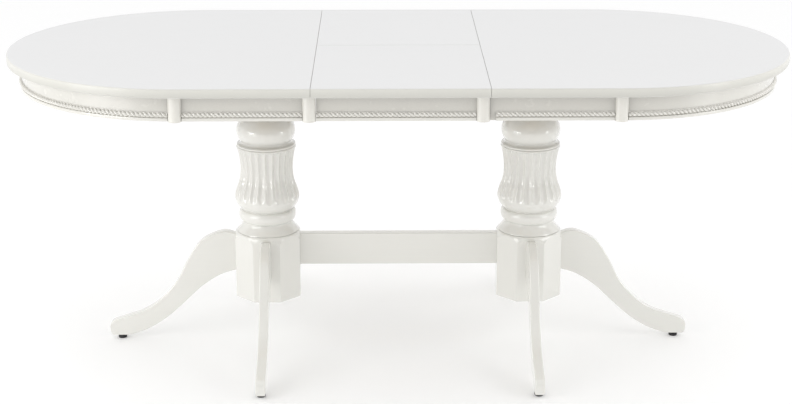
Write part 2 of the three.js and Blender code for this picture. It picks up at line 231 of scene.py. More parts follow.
def lacquer(name, axis, tint, crevice_shade, roughness, reach=0.0022, rim_shaded_tint=None,
            shade_under_top=None, shade_under_top_heights=None, end_light_tint=None, coat=(0.9, 0.08)):
    """Satin lacquer on wood: a faint random change of tint, grain that tells through, fine orange peel,
    and painted light and shade.

    reach is how near a neighbour makes a crevice; crevices take the crevice tint, which is painted shade.
    The rim tint, when given, is painted shade on the table top's rim, taken by its upright faces and
    darker still towards its foot. The shade under the top is painted shade, given as (share of the tint
    left where the surface is closed in, how far to look, the openness where that starts, the openness
    where it ends), with the pair of heights between which it comes in. The paler tint reached round the
    curved ends is painted light.
    coat is the weight and roughness of the clear coat.
    """
    nodes = Nodes(name)
    clouds = nodes.noise((1, 1, 1), 2.5, 1)
    tint_drift_and_painted_light = nodes.mix(nodes.ramp(clouds, 0.2, 0.8, 0, 1), tint, shade(tint, 0.99))
    grain = nodes.noise(grain_stretch(axis), 4, 4, 0.6)
    tint_drift_and_painted_light = nodes.mix(nodes.ramp(grain, 0.35, 0.75, 0, 0.25), tint_drift_and_painted_light, shade(tint, 0.95))
    # Painted shade: the rim's upright faces take the rim tint, darker than the top's faces, and darker
    # still towards the rim's foot.
    if rim_shaded_tint:
        rim_shade_rise = nodes.ramp(nodes.height(nodes.place), UNDERSIDE, TOP_Z - 0.004, 0, 1)
        edge = nodes.mix(rim_shade_rise, shade(rim_shaded_tint, 0.82), rim_shaded_tint)
        tint_drift_and_painted_light = nodes.mix(nodes.ramp(nodes.size(nodes.facing, "Z"), 0.55, 0.95, 0, 1), edge, tint_drift_and_painted_light)
    # Painted shade under the table top, where a long look finds the surface closed in; with heights given
    # it comes in between them, in full above the higher one.
    if shade_under_top:
        share, distance, closed, open_enough = shade_under_top
        clear_of_top_shade = nodes.ramp(nodes.crevices(distance), closed, open_enough, 0, 1)
        if shade_under_top_heights:
            free = nodes.ramp(nodes.height(nodes.place), *shade_under_top_heights, 1, 0)
            wider = nodes.add("ShaderNodeMath", operation="MAXIMUM")
            nodes.link(clear_of_top_shade, wider.inputs[0])
            nodes.link(free, wider.inputs[1])
            clear_of_top_shade = wider.outputs[0]
        tint_drift_and_painted_light = nodes.mix(clear_of_top_shade, shade(tint, share), tint_drift_and_painted_light)
    # Painted light: the tint grows paler round the curved ends.
    if end_light_tint:
        along = nodes.size(nodes.place, "X")
        tint_drift_and_painted_light = nodes.mix(nodes.ramp(along, END_X, END_X + END_BLEND, 0, 1), tint_drift_and_painted_light, end_light_tint)
    # Painted shade: crevices, seams and the gaps between parts take the darker crevice tint.
    clear_of_crevice_shade = nodes.ramp(nodes.crevices(reach), 0.1, 0.75, 0, 1)
    nodes.link(nodes.mix(clear_of_crevice_shade, crevice_shade, tint_drift_and_painted_light), nodes.shader.inputs["Base Color"])
    peel = nodes.noise((1, 1, 1), 380, 2)
    rough = nodes.ramp(nodes.noise((1, 1, 1), 40, 3), 0.25, 0.75, roughness - 0.015, roughness + 0.02)
    nodes.link(rough, nodes.shader.inputs["Roughness"])
    grain_bump = nodes.bump(grain, 0.03, 0.0004)
    nodes.link(nodes.bump(peel, 0.05, 0.0001, grain_bump), nodes.shader.inputs["Normal"])
    nodes.shader.inputs["IOR"].default_value = 1.5
    nodes.shader.inputs["Coat Weight"].default_value = coat[0]
    nodes.shader.inputs["Coat Roughness"].default_value = coat[1]
    nodes.shader.inputs["Coat IOR"].default_value = 1.7
    return nodes.material


def raw_beech(name, axis):
    """Planed, unpainted beech with long grain and short dark flecks."""
    nodes = Nodes(name)
    bands = nodes.noise(grain_stretch(axis), 3, 6, 0.6)
    flecks = nodes.noise(tuple(8 * s for s in grain_stretch(axis)), 5, 2)
    body = nodes.mix(nodes.ramp(bands, 0.3, 0.7, 0, 1), (0.68, 0.58, 0.46), (0.77, 0.68, 0.56))
    nodes.link(nodes.mix(nodes.ramp(flecks, 0.56, 0.70, 0, 0.45), body, (0.53, 0.41, 0.29)),
               nodes.shader.inputs["Base Color"])
    nodes.link(nodes.ramp(bands, 0.3, 0.7, 0.52, 0.66), nodes.shader.inputs["Roughness"])
    nodes.link(nodes.bump(bands, 0.25, 0.0006), nodes.shader.inputs["Normal"])
    return nodes.material


def zinc_steel():
    """Zinc plated steel with a faint spangle and drawn marks."""
    nodes = Nodes("zinc_steel")
    spangle = nodes.noise((1, 1, 1), 120, 3)
    brushed = nodes.noise((900, 40, 40), 1, 3)
    nodes.link(nodes.mix(nodes.ramp(spangle, 0.35, 0.65, 0, 1), (0.56, 0.57, 0.58), (0.70, 0.70, 0.69)),
               nodes.shader.inputs["Base Color"])
    nodes.link(nodes.ramp(brushed, 0.3, 0.7, 0.28, 0.44), nodes.shader.inputs["Roughness"])
    nodes.link(nodes.bump(brushed, 0.12, 0.0002), nodes.shader.inputs["Normal"])
    nodes.shader.inputs["Metallic"].default_value = 1.0
    return nodes.material


def glide_plastic():
    """Black nylon, fine grained and a little scuffed."""
    nodes = Nodes("glide_plastic")
    speck = nodes.noise((1, 1, 1), 900, 2)
    scuffs = nodes.noise((1, 1, 1), 160, 4)
    nodes.link(nodes.mix(nodes.ramp(scuffs, 0.55, 0.8, 0, 1), (0.012, 0.012, 0.013), (0.05, 0.05, 0.052)),
               nodes.shader.inputs["Base Color"])
    nodes.link(nodes.ramp(scuffs, 0.3, 0.8, 0.42, 0.62), nodes.shader.inputs["Roughness"])
    nodes.link(nodes.bump(speck, 0.3, 0.0002), nodes.shader.inputs["Normal"])
    return nodes.material


top_low, top_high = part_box("left_top_half")
UNDERSIDE = top_low.z
TOP_Z = top_high.z
HALF_LENGTH = -top_low.x
HALF_WIDTH = top_high.y
END_X = HALF_LENGTH - HALF_WIDTH
END_BLEND = 0.25
# WARM is the lacquer's own colour and NEUTRAL the top's. The apron, rim, post and rope tints are shaded
# copies of the warm lacquer: painted shade. The apron's end tint is painted light, and the deep tints are
# painted shade in crevices.
WARM = (0.845, 0.837, 0.790)
WARM_CREVICE_SHADE = (0.74, 0.73, 0.68)
APRON_SHADED_TINT = (0.695, 0.675, 0.618)
APRON_END_LIT_TINT = (0.715, 0.70, 0.647)
RIM_SHADED_TINT = (0.715, 0.706, 0.652)
POST_SHADED_TINT = (0.785, 0.765, 0.705)
APRON_CREVICE_SHADE = (0.66, 0.64, 0.59)
ROPE_SHADED_TINT = (0.75, 0.733, 0.68)
ROPE_CREVICE_SHADE = (0.48, 0.465, 0.415)
NEUTRAL = (0.785, 0.785, 0.787)
NEUTRAL_CREVICE_SHADE = (0.46, 0.455, 0.44)
# The plain warm lacquer, with painted shade in its crevices.
lacquer_along = {axis: lacquer("lacquer_" + axis.lower(), axis, WARM, WARM_CREVICE_SHADE, 0.20) for axis in "XYZ"}
# The column's lacquer is a shaded copy of the warm one, a touch darker all over, with painted shade under
# the table top that comes in from the vase up to the ball.
shaded_column_lacquer = lacquer("shaded_lacquer_column", "Z", shade(WARM, 0.98), WARM_CREVICE_SHADE, 0.20,
                         shade_under_top=(0.76, 0.25, 0.45, 0.85), shade_under_top_heights=(0.38, 0.52))
# Posts, aprons and the rope moulding take shaded copies of the lacquer, painted shade; posts and aprons
# also take painted shade under the table top, and the aprons painted light round the curved ends.
shaded_post_lacquer = lacquer("shaded_lacquer_post", "Z", POST_SHADED_TINT, APRON_CREVICE_SHADE, 0.22, shade_under_top=(0.90, 0.06, 0.62, 0.88))
shaded_apron_along = {
    axis: lacquer("shaded_lacquer_apron_" + axis.lower(), axis, APRON_SHADED_TINT, APRON_CREVICE_SHADE, 0.26,
                  shade_under_top=(0.70, 0.06, 0.62, 0.88), end_light_tint=APRON_END_LIT_TINT, coat=(0.9, 0.15))
    for axis in "XY"
}
shaded_rope_lacquer = lacquer("shaded_lacquer_rope", "X", ROPE_SHADED_TINT, ROPE_CREVICE_SHADE, 0.22)
# The top's own colour is NEUTRAL; its rim takes painted shade, and its seams painted shade in their
# crevices.
top_lacquer = lacquer("lacquer_top", "X", NEUTRAL, NEUTRAL_CREVICE_SHADE, 0.32, reach=0.006, rim_shaded_tint=RIM_SHADED_TINT,
                      coat=(0.35, 0.14))
beech_along = {axis: raw_beech("beech_" + axis.lower(), axis) for axis in "XY"}
steel = zinc_steel()
black = glide_plastic()


# ---------------------------------------------------------------- mesh helpers
def finish_piece(name, mesh, material, body, nodes, crease=35, weighted=False):
    """Turns a mesh into a piece that rides on a body and stands for CAD nodes."""
    piece = bpy.data.objects.new(name + "_look", mesh)
    bpy.context.scene.collection.objects.link(piece)
    mesh.materials.append(material)
    for polygon in mesh.polygons:
        polygon.use_smooth = True
    mesh.set_sharp_from_angle(angle=math.radians(crease))
    if weighted:
        modifier = piece.modifiers.new("flat_faces_stay_flat", "WEIGHTED_NORMAL")
        modifier.keep_sharp = True
        modifier.weight = 100
    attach(piece, body)
    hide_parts(*nodes)


def to_mesh(name, bm):
    """A mesh from a bmesh, with its faces turned outward."""
    bmesh.ops.recalc_face_normals(bm, faces=bm.faces)
    mesh = bpy.data.meshes.new(name)
    bm.to_mesh(mesh)
    bm.free()
    return mesh


def prism(outline, low, high):
    """An upright solid from a plan outline of (x, y) points."""
    bm = bmesh.new()
    foot = [bm.verts.new((x, y, low)) for x, y in outline]
    head = [bm.verts.new((x, y, high)) for x, y in outline]
    count = len(outline)
    bm.faces.new(foot[::-1])
    bm.faces.new(head)
    for i in range(count):
        j = (i + 1) % count
        bm.faces.new((foot[i], foot[j], head[j], head[i]))
    bmesh.ops.recalc_face_normals(bm, faces=bm.faces)
    return bm


def round_edges(bm, radius, segments=3, wanted=None, sharp=40):
    """Rounds the edges sharper than an angle, or those of them that wanted(edge) picks."""
    limit = math.radians(sharp)
    edges = [
        e for e in bm.edges
        if len(e.link_faces) == 2 and e.calc_face_angle() > limit and (wanted is None or wanted(e))
    ]
    bmesh.ops.bevel(bm, geom=edges, offset=radius, segments=segments, profile=0.5, affect="EDGES")
    return bm


def board(low, high, radius=0.0012, segments=2):
    """A planed board between two corners, with its edges eased."""
    outline = [(low[0], low[1]), (high[0], low[1]), (high[0], high[1]), (low[0], high[1])]
    return round_edges(prism(outline, low[2], high[2]), radius, segments)


def turned(profile, centre_x, steps, radius_at=None):
    """A turned piece about an upright axis. The profile runs from the axis round to the axis."""
    bm = bmesh.new()
    rings = []
    for r, z in profile:
        if r < 1e-7:
            rings.append([bm.verts.new((centre_x, 0, z))])
            continue
        ring = []
        for angle, place in steps:
            reach = radius_at(r, z, place) if radius_at else r
            ring.append(bm.verts.new((centre_x + reach * math.cos(angle), reach * math.sin(angle), z)))
        rings.append(ring)
    for below, above in zip(rings, rings[1:]):
        for i in range(len(steps)):
            j = (i + 1) % len(steps)
            corners = []
            corners += [below[0]] if len(below) == 1 else [below[i], below[j]]
            corners += [above[0]] if len(above) == 1 else [above[j], above[i]]
            bm.faces.new(corners)
    return bm


def even_steps(count):
    """Angles round a circle, each with its share of the turn."""
    return [(2 * math.pi * i / count, i / count) for i in range(count)]


def bezier(start, first, second, end, count):
    """Points after start along a cubic curve."""
    points = []
    for i in range(1, count + 1):
        t = i / count
        s = 1 - t
        weights = (s * s * s, 3 * s * s * t, 3 * s * t * t, t * t * t)
        points.append(tuple(
            sum(w * p[k] for w, p in zip(weights, (start, first, second, end))) for k in (0, 1)
        ))
    return points


def through(points, count):
    """Points along a Catmull-Rom curve through all the given ones, the first left out."""
    ends = [points[0], *points, points[-1]]
    result = []
    for a, b, c, d in zip(ends, ends[1:], ends[2:], ends[3:]):
        for i in range(1, count + 1):
            t = i / count
            result.append(tuple(
                0.5 * (2 * b[k] + (c[k] - a[k]) * t + (2 * a[k] - 5 * b[k] + 4 * c[k] - d[k]) * t * t
                       + (3 * b[k] - a[k] - 3 * c[k] + d[k]) * t ** 3)
                for k in (0, 1)
            ))
    return result


def arc(centre, radius, start, end, count):
    """Points along an arc, both ends among them."""
    return [
        (centre[0] + radius * math.cos(start + (end - start) * i / count),
         centre[1] + radius * math.sin(start + (end - start) * i / count))
        for i in range(count + 1)
    ]


# ---------------------------------------------------------------- table top
leaf_low, leaf_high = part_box("leaf_panel_rear")
SEAM_X = -top_high.x
LEAF_X = leaf_high.x
LEAF_SEAM_Y = leaf_low.y


RIM_TOP_RADIUS = 0.0042
RIM_FOOT_RADIUS = 0.003
FOLD_RADIUS = 0.0024
SEAM_END_RADIUS = 0.0008


def make_top_piece(name, outline, body, is_seam, is_fold=lambda edge: False):
    """A board of the top, round along the rim of the table and crisp along its seams."""
    bm = prism(outline, UNDERSIDE, TOP_Z)

    def flat(edge):
        return abs(edge.verts[0].co.z - edge.verts[1].co.z) < 1e-6

    def rim(edge):
        return flat(edge) and not is_seam(edge)

    def ends_board(edge):
        return any(abs(face.normal.x) > 0.99 for face in edge.link_faces)

    round_edges(bm, RIM_TOP_RADIUS, 6, lambda e: rim(e) and e.verts[0].co.z > UNDERSIDE + 0.01)
    round_edges(bm, RIM_FOOT_RADIUS, 4, lambda e: rim(e) and e.verts[0].co.z < UNDERSIDE + 0.0001)
    round_edges(bm, FOLD_RADIUS, 3, lambda e: flat(e) and is_fold(e) and e.verts[0].co.z > TOP_Z - 0.0001)
    round_edges(bm, SEAM_END_RADIUS, 2, lambda e: is_seam(e) and not is_fold(e) and ends_board(e))
    finish_piece(name, to_mesh(name, bm), top_lacquer, body, [name], 50, True)


def make_top():
    """The two halves of the top and the two panels of the leaf."""
    def on_x(edge, x):
        return all(abs(v.co.x - x) < 1e-5 for v in edge.verts)

    def on_y(edge, y):
        return all(abs(v.co.y - y) < 1e-5 for v in edge.verts)

    for side, body in ((-1, "left_half"), (1, "right_half")):
        bend = arc((-END_X, 0), HALF_WIDTH, math.pi / 2, 3 * math.pi / 2, 128)
        outline = [*bend, (-SEAM_X, -HALF_WIDTH), (-SEAM_X, HALF_WIDTH)]
        if side > 0:
            outline = [(-x, y) for x, y in outline][::-1]
        name = "left_top_half" if side < 0 else "right_top_half"
        make_top_piece(name, outline, body, lambda e, s=side: on_x(e, s * SEAM_X))
    for side, word in ((-1, "front"), (1, "rear")):
        near, far = side * LEAF_SEAM_Y, side * HALF_WIDTH
        outline = [(-LEAF_X, near), (LEAF_X, near), (LEAF_X, far), (-LEAF_X, far)]

        def fold(edge, near=near):
            return on_y(edge, near)

        def seam(edge, fold=fold):
            return on_x(edge, LEAF_X) or on_x(edge, -LEAF_X) or fold(edge)

        make_top_piece("leaf_panel_" + word, outline, "leaf_" + word, seam, fold)


# ---------------------------------------------------------------- aprons and mouldings
apron_low, apron_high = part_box("leaf_apron_rear")
APRON_FACE = apron_high.y
APRON_INSIDE = apron_low.y
APRON_FOOT = apron_low.z
APRON_HEAD = apron_high.z


def straight_path(start_x, end_x, side, step):
    """Stations along the front (side -1) or rear (side 1), so that the outside is on the right."""
    count = max(1, round(abs(end_x - start_x) / step))
    xs = [start_x + (end_x - start_x) * i / count for i in range(count + 1)]
    if side > 0:
        xs = xs[::-1]
    return [(x, 0.0, 0.0, float(side), abs(x - xs[0])) for x in xs]


def bent_path(end, trim_x, step, radius):
    """Stations round an end of the table, beyond X = end * trim_x, with the outside on the right."""
    lead = math.asin((trim_x - END_X) / radius)
    sweep_angle = math.pi - 2 * lead
    count = round(sweep_angle * radius / step)
    stations = []
    for i in range(count + 1):
        angle = -math.pi / 2 + lead + sweep_angle * i / count
        if end < 0:
            angle += math.pi
        length = radius * sweep_angle * i / count
        stations.append((end * END_X, 0.0, math.cos(angle), math.sin(angle), length))
    return stations


def sweep(path, section):
    """Carries a closed section of (out, z) points along stations (x, y, out_x, out_y, length)."""
    bm = bmesh.new()
    rings = []
    for x, y, out_x, out_y, length in path:
        rings.append([bm.verts.new((x + out * out_x, y + out * out_y, z)) for out, z in section(length)])
    for here, there in zip(rings, rings[1:]):
        for i in range(len(here)):
            j = (i + 1) % len(here)
            bm.faces.new((here[i], there[i], there[j], here[j]))
    bm.faces.new(rings[0])
    bm.faces.new(rings[-1][::-1])
    return bm


def apron_section(_length):
    """The plain board section of an apron, the same all along it, with its foot eased."""
    ease = 0.0012
    return [
        (APRON_INSIDE + ease, APRON_FOOT),
        (APRON_FACE - ease, APRON_FOOT),
        (APRON_FACE, APRON_FOOT + ease),
        (APRON_FACE, APRON_HEAD),
        (APRON_INSIDE, APRON_HEAD),
        (APRON_INSIDE, APRON_FOOT + ease),
    ]


APRON_STEP = 0.05
APRON_BEND_STEP = 0.012
MOULDING_GAP = 0.0003
ROPE_PITCH = 0.0102
ROPE_STEP = ROPE_PITCH / 9
ROPE_STRANDS = 2
ROPE_RADIUS = 0.0059
ROPE_GROOVE = 0.0032
MOULDING_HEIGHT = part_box("leaf_rope_front")[1].z - APRON_FOOT
ROPE_CENTRE_Z = APRON_FOOT + 0.0138
BEAD_HEIGHT = 0.0074
BEAD_PROUD = 0.0040


def rope_section(length):
    """The moulding's section: a bead at the foot and the twisted rope over it, half sunk in a strip."""
    back = APRON_FACE + MOULDING_GAP
    ease = 0.0009
    points = [(back, APRON_FOOT)]
    points += arc((back + BEAD_PROUD - ease, APRON_FOOT + ease), ease, -math.pi / 2, 0, 4)
    points += arc((back + BEAD_PROUD - ease, APRON_FOOT + BEAD_HEIGHT - ease), ease, 0, math.pi / 2, 4)
    points.append((back + 0.0010, APRON_FOOT + BEAD_HEIGHT + 0.0002))
    steps = 18
    for i in range(steps + 1):
        angle = math.radians(-84 + 168 * i / steps)
        phase = ROPE_STRANDS * angle + 2 * math.pi * length / ROPE_PITCH
        reach = ROPE_RADIUS - ROPE_GROOVE * (1 - abs(math.cos(phase / 2))) ** 1.2
        points.append((back + 0.0002 + reach * math.cos(angle), ROPE_CENTRE_Z + reach * math.sin(angle)))
    top = APRON_FOOT + MOULDING_HEIGHT
    points += [(back + 0.0008, top - 0.0001), (back, top)]
    return points


def make_aprons():
    """The aprons with the mouldings on their feet, straight ones first and then the curved ends."""
    for word, side in (("front", -1), ("rear", 1)):
        for group, body in (("left", "left_half"), ("right", "right_half"), ("leaf", "leaf_" + word)):
            name = f"{group}_apron_{word}"
            low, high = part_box(name)
            mesh = to_mesh(name, sweep(straight_path(low.x, high.x, side, APRON_STEP), apron_section))
            finish_piece(name, mesh, shaded_apron_along["X"], body, [name])
            name = f"{group}_rope_{word}"
            low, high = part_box(name)
            mesh = to_mesh(name, sweep(straight_path(low.x, high.x, side, ROPE_STEP), rope_section))
            finish_piece(name, mesh, shaded_rope_lacquer, body, [name], 50)
    for word, end in (("left", -1), ("right", 1)):
        name = word + "_end_apron"
        low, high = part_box(name)
        trim = -high.x if end < 0 else low.x
        mesh = to_mesh(name, sweep(bent_path(end, trim, APRON_BEND_STEP, APRON_FACE), apron_section))
        finish_piece(name, mesh, shaded_apron_along["Y"], word + "_half", [name])
        name = word + "_end_rope"
        low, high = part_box(name)
        trim = -high.x if end < 0 else low.x
        mesh = to_mesh(name, sweep(bent_path(end, trim, ROPE_STEP, APRON_FACE), rope_section))
        finish_piece(name, mesh, shaded_rope_lacquer, word + "_half", [name], 50)


POST_DROP = 0.0015
POST_STEPS = 32


def make_posts():
    """Half-round posts against the aprons, which reach a little below them."""
    groups = (
        ("outer_post_left", "left_half"),
        ("seam_post_left", "left_half"),
        ("seam_post_leaf", None),
        ("outer_post_right", "right_half"),
    )
    for word, side in (("front", -1), ("rear", 1)):
        for group, body in groups:
            name = f"{group}_{word}"
            low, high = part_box(name)
            middle = (low.x + high.x) / 2
            half = (high.x - low.x) / 2
            back = low.y if side > 0 else high.y
            proud = high.y - low.y
            outline = []
            for i in range(POST_STEPS + 1):
                angle = math.pi * i / POST_STEPS
                outline.append((middle + half * math.cos(angle), back + side * proud * math.sin(angle)))
            if side < 0:
                outline = outline[::-1]
            bm = prism(outline, low.z - POST_DROP, high.z)
            round_edges(bm, 0.0009, 2)
            mesh = to_mesh(name, bm)
            finish_piece(name, mesh, shaded_post_lacquer, body or "leaf_" + word, [name], 40, True)


# ---------------------------------------------------------------- pedestals
FLUTES = 24
FLUTE_DEPTH = 0.0040
FLUTE_FOOT = 0.3785
FLUTE_TIP = 0.017
FLUTE_HALF_WIDTH = 0.90
FLUTE_HEAD = 0.5085


def column_profile(low, high):
    """Half outline of the turned column, from the hub up to the bearer, as (radius, height)."""
    mm = [(0, low / MM), (77.2, low / MM), (77.9, low / MM + 0.7), (77.6, low / MM + 1.8)]
    mm += [(76.9, low / MM + 2.3), (76.7, low / MM + 3.0)]
    mm += bezier(mm[-1], (71.5, 302), (62.5, 311), (61.0, 318), 14)
    mm += [(60.6, 319.0)]
    mm += bezier(mm[-1], (75, 319.6), (74.6, 348.6), (64.6, 349.4), 16)
    mm += [(63.4, 350.0), (63.4, 351.2)]
    mm += bezier(mm[-1], (67.5, 353.4), (76.4, 362), (78.9, 372), 10)
    mm += bezier(mm[-1], (82.6, 383.5), (78.5, 396), (74.0, 407), 16)
    mm += bezier(mm[-1], (64.2, 431), (63.2, 452), (68.0, 486), 24)
    mm += bezier(mm[-1], (69.6, 496), (71.0, 502), (72.6, 507.6), 8)
    mm += bezier(mm[-1], (74.8, 508.2), (74.8, 512.6), (73.0, 513.2), 6)
    mm += [(72.2, 513.5)]
    mm += bezier(mm[-1], (74.0, 514), (74.0, 518.4), (71.6, 519.2), 6)
    mm += [(70.9, 519.0), (70.5, 519.6)]
    mm += bezier(mm[-1], (67.5, 520.2), (64.4, 521.8), (63.8, 525.2), 8)
    ball = arc((0, 0), 1, math.radians(-29.5), math.radians(47), 30)
    mm += [(73.4 * across, 552.7 + 54 * up) for across, up in ball]
    mm += [(49.6, 594), (49.4, 611), (52, 613)]
    mm += bezier(mm[-1], (60, 614), (60, 622), (56, 623), 6)
    mm += bezier(mm[-1], (60, 627), (74, 628), (74.4, 634), 8)
    mm += [(75, 635), (75, high / MM - 1), (74, high / MM), (0, high / MM)]
    return [(r * MM, z * MM) for r, z in mm]


def fluted_radius(r, z, place):
    """Hollows the vase between its foot and its rim with flutes that end in rounded tips."""
    if not FLUTE_FOOT < z < FLUTE_HEAD:
        return r
    across = 2 * ((place * FLUTES) % 1) - 1
    run = min(1.0, (z - FLUTE_FOOT) / FLUTE_TIP)
    width = FLUTE_HALF_WIDTH * math.sqrt(max(0.0, 1 - (1 - run) ** 2))
    if abs(across) >= width:
        return r
    depth = FLUTE_DEPTH * min(1.0, 0.35 + 0.65 * run)
    return r - depth * (1 - (across / width) ** 2)


def flute_steps():
    """Angles round the column, closer together at the edges of each flute."""
    places = (0.0, 0.03, 0.06, 0.12, 0.22, 0.36, 0.5, 0.64, 0.78, 0.88, 0.94, 0.97)
    steps = []
    for flute in range(FLUTES):
        for place in places:
            turn = (flute + place) / FLUTES
            steps.append((2 * math.pi * turn, turn))
    return steps


def finer(profile, low, high, gap):
    """Adds points to a profile between two heights, so that no two are further apart than gap."""
    result = [profile[0]]
    for a, b in zip(profile, profile[1:]):
        if low < (a[1] + b[1]) / 2 < high:
            parts = max(1, math.ceil(math.dist(a, b) / gap))
            result += [(a[0] + (b[0] - a[0]) * i / parts, a[1] + (b[1] - a[1]) * i / parts)
                       for i in range(1, parts)]
        result.append(b)
    return result


def make_column(word, x):
    """A turned column: torus, fluted vase, rim, ball and cap."""
    name = word + "_column"
    low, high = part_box(name)
    profile = finer(column_profile(low.z, high.z), FLUTE_FOOT - 0.004, FLUTE_FOOT + FLUTE_TIP, 0.0016)
    bm = turned(profile, x, flute_steps(), fluted_radius)
    finish_piece(name, to_mesh(name, bm), shaded_column_lacquer, "base", [name], 38)


def shoulder_height(r):
    """Height of the hub's turned shoulder at a radius, both in millimetres."""
    inner, outer = (78, 292.9), (88.2, 272.4)
    across = min(1, max(0, (r - inner[0]) / (outer[0] - inner[0])))
    return inner[1] - (inner[1] - outer[1]) * across ** 1.7


HUB_SIDE_STEPS = 14
HUB_TOP_STEPS = 8
HUB_FOOT_EASE = 1.6
HUB_TOP_RADIUS = 77.8


def make_hub(word, x):
    """An octagonal block with softened corners, its top turned to a round shoulder."""
    name = word + "_hub"
    low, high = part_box(name)
    flat = (high.x - low.x) / 2 / MM
    soften = 2.2
    corner = (flat - soften) / math.cos(math.pi / 8)
    plan = []
    for i in range(8):
        middle = math.pi * (i + 0.5) / 4
        centre = (corner * math.cos(middle), corner * math.sin(middle))
        bend = arc(centre, soften, middle - math.pi / 8, middle + math.pi / 8, 4)
        plan += bend
        following = middle + math.pi / 4
        ahead = (corner * math.cos(following) + soften * math.cos(following - math.pi / 8),
                 corner * math.sin(following) + soften * math.sin(following - math.pi / 8))
        plan += [
            tuple(bend[-1][k] + (ahead[k] - bend[-1][k]) * j / HUB_SIDE_STEPS for k in (0, 1))
            for j in range(1, HUB_SIDE_STEPS)
        ]
    bm = bmesh.new()
    foot = low.z / MM
    rings = [[] for _ in range(HUB_TOP_STEPS + 3)]
    for px, py in plan:
        reach = math.hypot(px, py)
        line = [(reach - HUB_FOOT_EASE, foot), (reach, foot + HUB_FOOT_EASE)]
        for j in range(HUB_TOP_STEPS + 1):
            r = reach + (HUB_TOP_RADIUS - reach) * j / HUB_TOP_STEPS
            line.append((r, min(shoulder_height(r), high.z / MM)))
        for ring, (r, z) in zip(rings, line):
            ring.append(bm.verts.new((x + MM * px * r / reach, MM * py * r / reach, MM * z)))
    for below, above in zip(rings, rings[1:]):
        for i in range(len(plan)):
            j = (i + 1) % len(plan)
            bm.faces.new((below[i], below[j], above[j], above[i]))
    bm.faces.new(rings[0][::-1])
    bm.faces.new(rings[-1])
    finish_piece(name, to_mesh(name, bm), lacquer_along["Z"], "base", [name], 16, True)


def leg_outline(root, tip, foot):
    """Side outline of a scroll leg as (reach from the axis, height), in millimetres."""
    under = [(root, 187), (125, 172), (173, 140), (220, 95), (262, 58), (305, 30), (345, 14), (366, foot)]
    over = [(tip - 20, 52.5), (356, 63.5), (319, 77.5), (275, 107.5), (235, 154.5), (203, 216.5),
            (168, 264.5), (116, 288.5), (root, 282.5)]
    points = [under[0]] + through(under, 10)
    points.append((tip - 11, foot))
    points += bezier(points[-1], (tip - 3, foot), (tip - 0.6, foot + 6), (tip, 31), 8)
    points += bezier(points[-1], (tip, 43), (tip - 8, 49), over[0], 8)
    points += through(over, 10)
    return points


LEG_THICKNESS = 0.023
LEG_RADIUS = 0.0028


def make_leg(side_word, leg_word, x, turn):
    """A scroll leg cut from a board, made along X and turned to its side of the hub."""
    name = f"{side_word}_leg_{leg_word}"
    hub_low, hub_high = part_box(side_word + "_hub")
    low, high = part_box(name)
    tip = max(abs(v) for v in (low.x - x, high.x - x, low.y, high.y)) / MM
    root = (hub_high.x - hub_low.x) / 2 / MM
    outline = [(r * MM, z * MM) for r, z in leg_outline(root, tip, low.z / MM)]
    bm = bmesh.new()
    near = [bm.verts.new((r, -LEG_THICKNESS / 2, z)) for r, z in outline]
    far = [bm.verts.new((r, LEG_THICKNESS / 2, z)) for r, z in outline]
    bm.faces.new(near)
    bm.faces.new(far[::-1])
    for i in range(len(outline)):
        j = (i + 1) % len(outline)
        bm.faces.new((near[i], far[i], far[j], near[j]))
    bmesh.ops.recalc_face_normals(bm, faces=bm.faces)

    def long_edge(edge):
        at_root = all(abs(v.co.x - root * MM) < 1e-6 for v in edge.verts)
        return abs(edge.verts[0].co.y - edge.verts[1].co.y) < 1e-6 and not at_root

    round_edges(bm, LEG_RADIUS, 4, long_edge, 60)
    bm.transform(Matrix.Translation((x, 0, 0)) @ Matrix.Rotation(turn, 4, "Z"))
    axis = "X" if leg_word == "outer" else "Y"
    finish_piece(name, to_mesh(name, bm), lacquer_along[axis], "base", [name], 40, True)


def make_glide(side_word, leg_word):
    """A black glide under a toe, rounded at its foot and its top."""
    name = f"{side_word}_glide_{leg_word}"
    low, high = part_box(name)
    radius = (high.x - low.x) / 2 / MM
    top = high.z / MM
    mm = [(0, 0), (radius - 2.4, 0)]
    mm += bezier(mm[-1], (radius - 1, 0), (radius, 0.8), (radius, 2.2), 5)
    mm += [(radius, top - 0.7)]
    mm += bezier(mm[-1], (radius, top - 0.3), (radius - 0.3, top), (radius - 0.8, top), 4)
    mm += [(0, top)]
    bm = turned([(r * MM, z * MM) for r, z in mm], 0, even_steps(48))
    bm.transform(Matrix.Translation(((low.x + high.x) / 2, (low.y + high.y) / 2, 0)))
    finish_piece(name, to_mesh(name, bm), black, "base", [name], 40)


STRETCHER_RADIUS = 0.0022


def make_stretcher():
    """The board between the hubs, with its long edges eased."""
    low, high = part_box("stretcher")
    low.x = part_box("left_hub")[1].x
    high.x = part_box("right_hub")[0].x
    outline = [(low.x, low.y), (high.x, low.y), (high.x, high.y), (low.x, high.y)]
    bm = prism(outline, low.z, high.z)
    round_edges(bm, STRETCHER_RADIUS, 4, lambda e: abs(e.verts[0].co.x - e.verts[1].co.x) > 0.1)
    finish_piece("stretcher", to_mesh("stretcher", bm), lacquer_along["X"], "base", ["stretcher"],
                 40, True)


def make_pedestals():
    """Both pedestals and the stretcher between them."""
    turns = {"outer": None, "front": -math.pi / 2, "rear": math.pi / 2}
    for word, side in (("left", -1), ("right", 1)):
        low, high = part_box(word + "_hub")
        x = (low.x + high.x) / 2
        make_column(word, x)
        make_hub(word, x)
        for leg_word, turn in turns.items():
            outward = math.pi if side < 0 else 0
            make_leg(word, leg_word, x, outward if turn is None else turn)
            make_glide(word, leg_word)
    make_stretcher()


